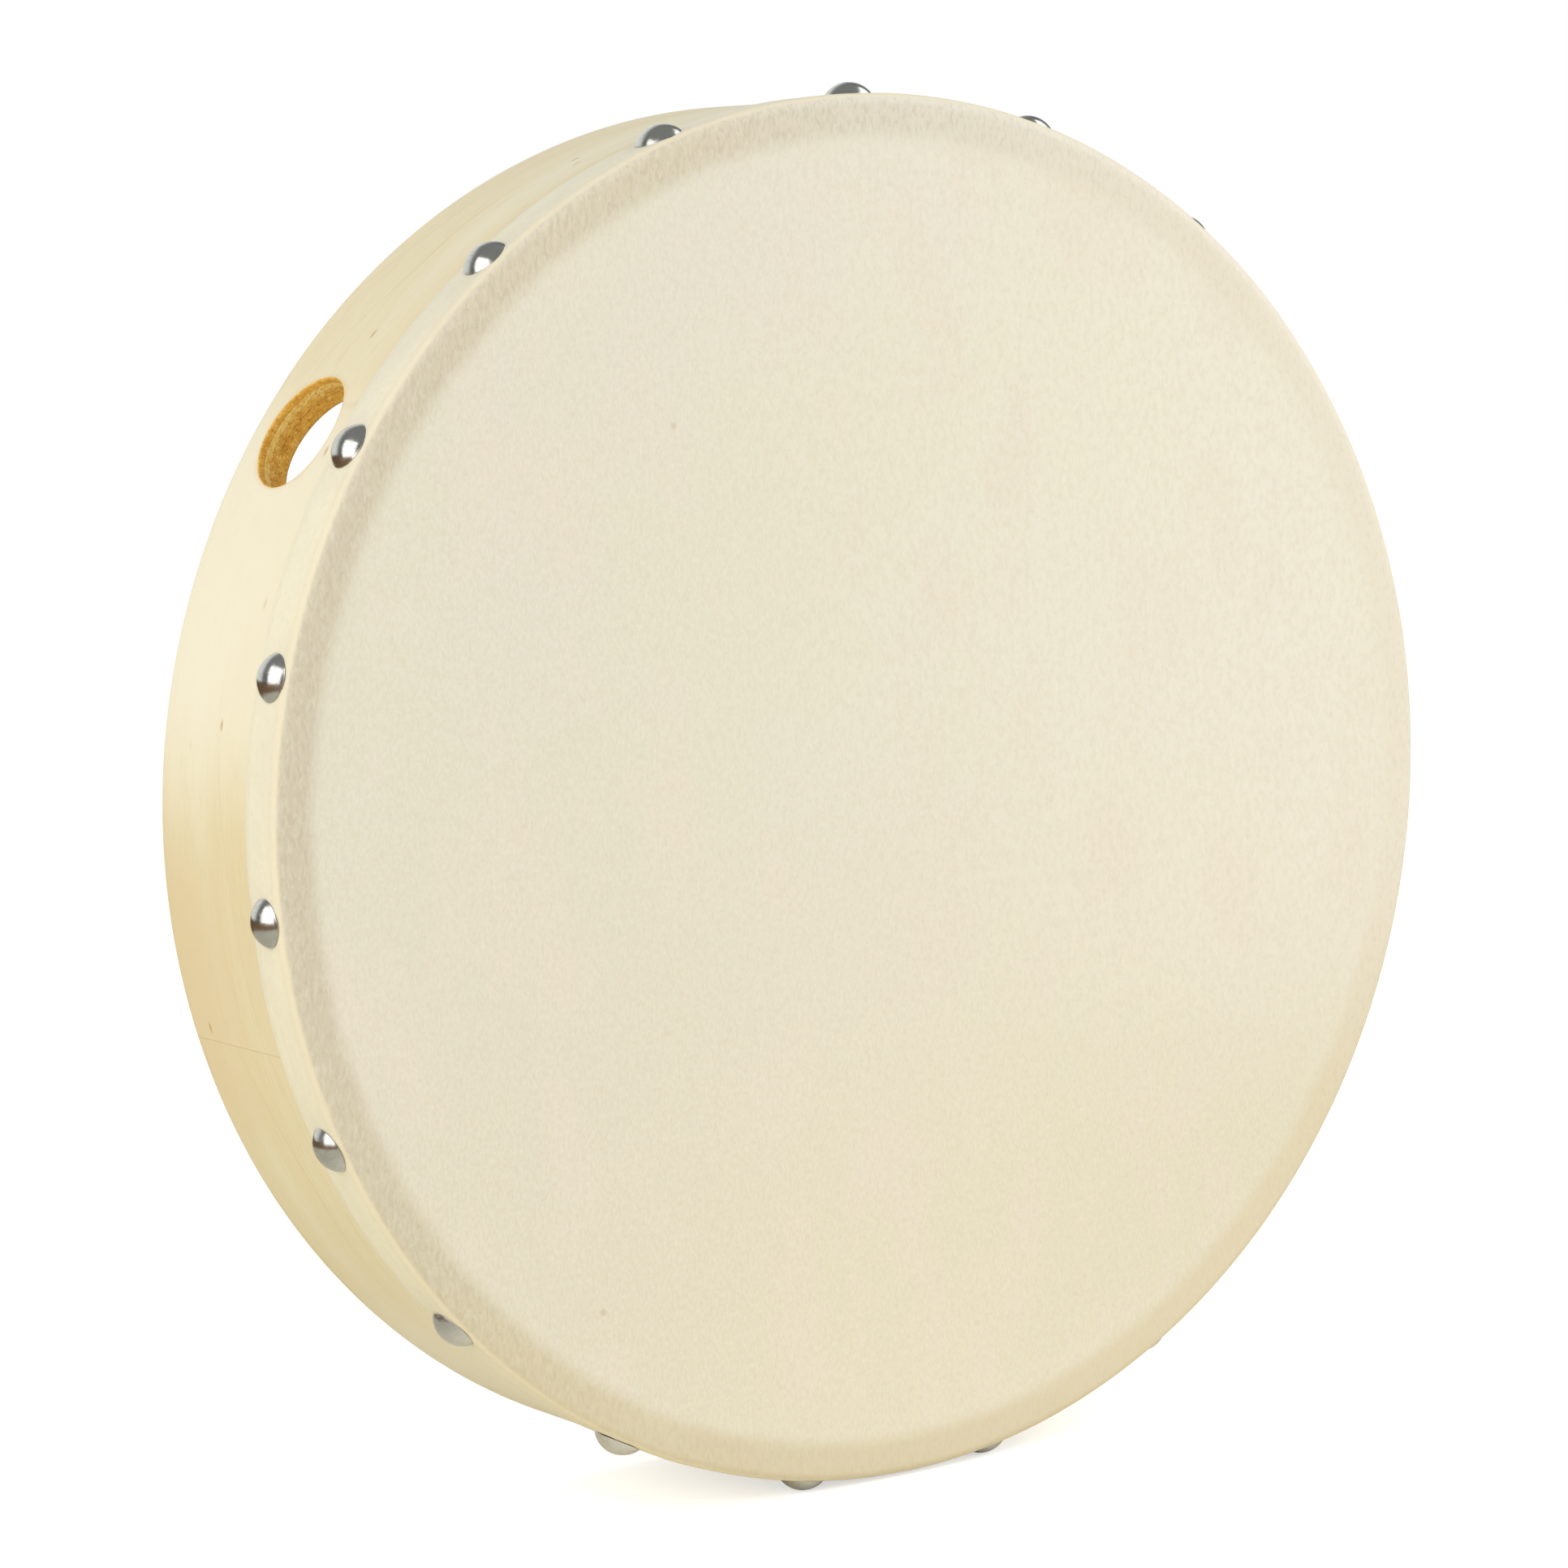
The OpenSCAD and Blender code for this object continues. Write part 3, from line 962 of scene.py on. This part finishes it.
def make_floor():
    """A pale table top: nearly white to the camera, and duller and warmer in what it throws on the drum."""
    s = Shader("studio_floor")
    point = object_point(s)
    path = s.node("ShaderNodeLightPath")
    tone = s.noise(s.scaled(point, (0.5, 0.5, 0.5)), 1.0)
    seen = s.mix(tone, (0.93, 0.93, 0.93, 1.0), (0.95, 0.95, 0.95, 1.0))
    away = s.node("ShaderNodeVectorMath", operation="LENGTH")
    s.link(point, away.inputs[0])
    table = s.ramp(away.outputs["Value"], TABLE_R, TABLE_R * 1.3)
    mirrored = s.mix(s.ramp(away.outputs["Value"], 0.05, 0.20), NEAR_TONE, TABLE_TONE)
    mirrored = s.mix(table, mirrored, BEYOND_TONE)
    thrown = s.mix(path.outputs["Is Glossy Ray"], BOUNCE_TONE, mirrored)
    s.finish(s.mix(path.outputs["Is Camera Ray"], thrown, seen), 0.85, specular_ior_level=0.1)
    s.bsdf.inputs["Emission Color"].default_value = (1.0, 1.0, 1.0, 1.0)
    s.put(s.math("MULTIPLY", path.outputs["Is Camera Ray"], FLOOR_LIFT), s.bsdf.inputs["Emission Strength"])
    bm = bmesh.new()
    corners = [(x * FLOOR_HALF, y * FLOOR_HALF) for x, y in ((-1, -1), (1, -1), (1, 1), (-1, 1))]
    bm.faces.new([bm.verts.new((x, y, 0.0)) for x, y in corners])
    mesh = bpy.data.meshes.new("floor")
    bm.to_mesh(mesh)
    bm.free()
    mesh.materials.append(s.material)
    floor = bpy.data.objects.new("floor", mesh)
    bpy.context.scene.collection.objects.link(floor)



def direction(azimuth, elevation):
    """The direction at an azimuth from the head's side towards +X, and an elevation over the floor."""
    flat = math.cos(elevation)
    return Vector((math.sin(azimuth) * flat, -math.cos(azimuth) * flat, math.sin(elevation)))


def softbox(name, azimuth, elevation, distance, size, radiance):
    """A rectangular light that looks at the drum; its azimuth turns from the head's side towards +X."""
    away = direction(math.radians(azimuth), math.radians(elevation))
    data = bpy.data.lights.new(name, "AREA")
    data.shape = "RECTANGLE"
    data.size, data.size_y = size
    data.energy = radiance * math.pi * size[0] * size[1]
    obj = bpy.data.objects.new(name, data)
    obj.location = Vector((0.0, 0.0, AXIS_Z)) + away * distance
    obj.rotation_euler = away.to_track_quat("Z", "Y").to_euler()
    bpy.context.scene.collection.objects.link(obj)
    return obj


def make_lights():
    softbox("left_softbox", -80, 23, 1.30, (1.20, 1.30), 1.62)
    softbox("right_softbox", 75, 33, 1.20, (1.20, 1.20), 1.50)


ROOM_DARK = (0.15, 0.15, 0.14, 1.0)
ROOM_BACK = (0.86, 0.90, 0.89, 1.0)
ROOM_TOP = (0.24, 0.25, 0.24, 1.0)
SKY_SIDE = (0.55, 0.57, 0.58, 1.0)
SKY_TOP = (0.34, 0.36, 0.37, 1.0)
SKY_FRONT = (0.93, 0.95, 0.99, 1.0)


def make_world():
    """White to the camera, a soft room for what it lights, and a darker one for what mirrors it."""
    world = bpy.data.worlds.new("studio")
    world.use_nodes = True
    tree = world.node_tree
    nodes, links = tree.nodes, tree.links
    background = nodes["Background"]
    path = nodes.new("ShaderNodeLightPath")
    coords = nodes.new("ShaderNodeTexCoord")
    split = nodes.new("ShaderNodeSeparateXYZ")
    links.new(coords.outputs["Generated"], split.inputs[0])

    def blend(factor, a, b):
        n = nodes.new("ShaderNodeMix")
        n.data_type = "RGBA"
        for value, socket in ((factor, n.inputs[0]), (a, n.inputs[6]), (b, n.inputs[7])):
            if isinstance(value, bpy.types.NodeSocket):
                links.new(value, socket)
            else:
                socket.default_value = value
        return n.outputs[2]

    def stretch(value, low, high):
        n = nodes.new("ShaderNodeMapRange")
        n.interpolation_type = "SMOOTHSTEP"
        links.new(value, n.inputs[0])
        n.inputs[1].default_value = low
        n.inputs[2].default_value = high
        return n.outputs[0]

    y, z = split.outputs[1], split.outputs[2]
    mirrored = blend(stretch(y, 0.55, 0.88), ROOM_DARK, ROOM_BACK)
    mirrored = blend(stretch(z, 0.5, 0.9), mirrored, ROOM_TOP)
    soft = blend(stretch(z, 0.0, 0.85), SKY_SIDE, SKY_TOP)
    soft = blend(stretch(y, -0.9, 0.2), SKY_FRONT, soft)
    lit = blend(path.outputs["Is Glossy Ray"], soft, mirrored)
    shown = blend(path.outputs["Is Camera Ray"], lit, (1.0, 1.0, 1.0, 1.0))
    links.new(shown, background.inputs["Color"])
    bpy.context.scene.world = world

CAMERA_AZIMUTH = math.radians(-34.02)
CAMERA_ELEVATION = math.radians(6.66)
CAMERA_ROLL = math.radians(-1.97)
CAMERA_DISTANCE = 890.1 * MM
CAMERA_LENS = 113.39
AIM_RIGHT, AIM_UP = -23.07 * MM, 4.09 * MM


def make_camera():
    """Looks from the left, slightly from above, at a point left of the head's centre and just over it."""
    aim = Vector((AIM_RIGHT, HEAD_Y, AXIS_Z + AIM_UP))
    back = direction(CAMERA_AZIMUTH, CAMERA_ELEVATION)
    data = bpy.data.cameras.new("camera")
    data.sensor_width = 36.0
    data.lens = CAMERA_LENS
    camera = bpy.data.objects.new("camera", data)
    turn = back.to_track_quat("Z", "Y").to_matrix() @ Matrix.Rotation(CAMERA_ROLL, 3, "Z")
    camera.matrix_world = Matrix.Translation(aim + back * CAMERA_DISTANCE) @ turn.to_4x4()
    bpy.context.scene.collection.objects.link(camera)
    bpy.context.scene.camera = camera


make_camera()
make_world()
make_lights()
make_floor()
make_skin(skin_material())
make_veneers()
nickel = nickel_material()
for number, tack_name in enumerate(TACKS):
    make_tack(number, tack_name, nickel)
bpy.context.scene.view_settings.view_transform = "Standard"
